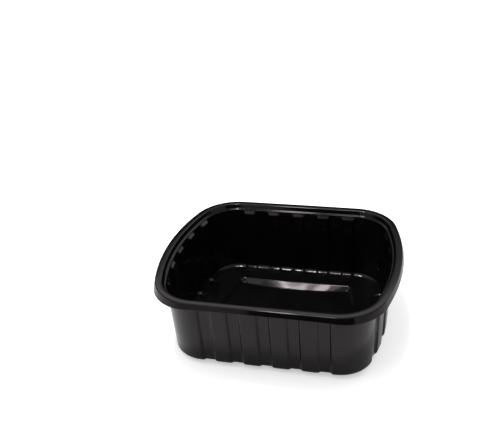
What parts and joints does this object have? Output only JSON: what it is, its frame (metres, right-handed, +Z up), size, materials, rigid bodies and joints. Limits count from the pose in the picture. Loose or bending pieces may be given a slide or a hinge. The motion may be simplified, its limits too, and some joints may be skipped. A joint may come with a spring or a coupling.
{
  "type": "disposable food tray",
  "caption": "Empty black thermoformed plastic food tray with a flat rim, a narrow inner ledge, ribbed leaning walls, rounded corners and a recessed panel in its floor",
  "frame": {"origin": "centre of the underside, on the surface that the tray stands on", "axes": "+X along the long sides, +Y across the tray away from the camera side, +Z up out of the open mouth"},
  "size_m": [0.1926, 0.161, 0.067],
  "materials": {
    "tray": "glossy black polypropylene sheet with slightly soft reflections"
  },
  "bodies": {
    "root": {"tray": "tray"}
  },
  "joints": []
}
